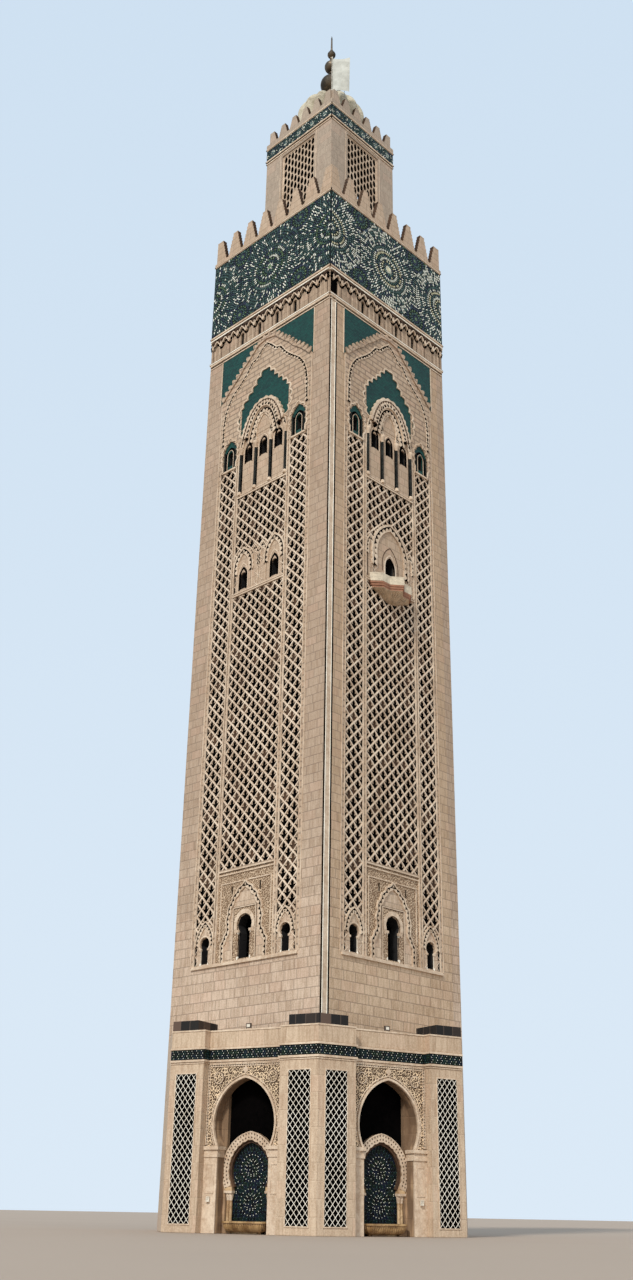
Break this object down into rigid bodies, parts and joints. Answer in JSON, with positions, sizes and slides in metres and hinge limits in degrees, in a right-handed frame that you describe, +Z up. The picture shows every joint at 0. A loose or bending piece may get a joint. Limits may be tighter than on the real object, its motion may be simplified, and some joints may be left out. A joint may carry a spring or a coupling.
{
  "type": "one to ten scale model of a square mosque minaret",
  "caption": "Square stone minaret with carved lattice faces, tiled band, stepped merlons, open lantern, ribbed dome and finial, on a splayed base with fountain arches; one to ten scale.",
  "frame": {"origin": "middle of the shaft's foot, on the underside of the ground floor", "axes": "+Z up, -Y towards the front side, +X towards the right side, each square to a side of the shaft"},
  "size_m": [3.7052, 3.7052, 19.14],
  "materials": {
    "travertine": "honed ashlar",
    "carved_stone": "carved relief",
    "inner_stone": "rough",
    "tile": "cut glazed tile",
    "marble": "polished",
    "screen": "matt black paint",
    "dome_stone": "smooth render",
    "bronze": "dark patina",
    "pole_metal": "satin",
    "cloth": "thin woven cloth"
  },
  "bodies": {
    "root": {"front_lower_wall": "travertine", "right_lower_wall": "travertine", "back_lower_wall": "travertine", "left_lower_wall": "travertine", "front_window_wall": "travertine", "right_window_wall": "travertine", "back_window_wall": "travertine", "left_window_wall": "travertine", "front_shaft_wall": "travertine", "right_shaft_wall": "travertine", "back_shaft_wall": "travertine", "left_shaft_wall": "travertine", "right_balcony": "travertine", "left_balcony": "travertine", "crenellation": "travertine", "near_corner_pier": "travertine", "far_corner_pier": "travertine", "front_outer_pier": "travertine", "right_outer_pier": "travertine", "back_outer_pier": "travertine", "left_outer_pier": "travertine", "lantern_walls": "travertine", "lantern_roof": "travertine", "lantern_crenellation": "travertine", "front_carved_facing": "carved_stone", "right_carved_facing": "carved_stone", "back_carved_facing": "carved_stone", "left_carved_facing": "carved_stone", "gallery": "carved_stone", "front_fountain_bay": "carved_stone", "right_fountain_bay": "carved_stone", "back_fountain_bay": "carved_stone", "left_fountain_bay": "carved_stone", "front_claustra": "carved_stone", "right_claustra": "carved_stone", "back_claustra": "carved_stone", "left_claustra": "carved_stone", "ground_floor": "inner_stone", "lower_floor": "inner_stone", "middle_floor": "inner_stone", "upper_floor": "inner_stone", "gallery_floor": "inner_stone", "roof_deck": "inner_stone", "tile_band": "tile", "lantern_tile_band": "tile", "front_fountain_basin": "marble", "right_fountain_basin": "marble", "back_fountain_basin": "marble", "left_fountain_basin": "marble", "near_corner_screen": "screen", "far_corner_screen": "screen", "front_outer_screen": "screen", "right_outer_screen": "screen", "back_outer_screen": "screen", "left_outer_screen": "screen", "dome": "dome_stone", "finial": "bronze", "flagpole": "pole_metal", "flag": "cloth"}
  },
  "joints": []
}
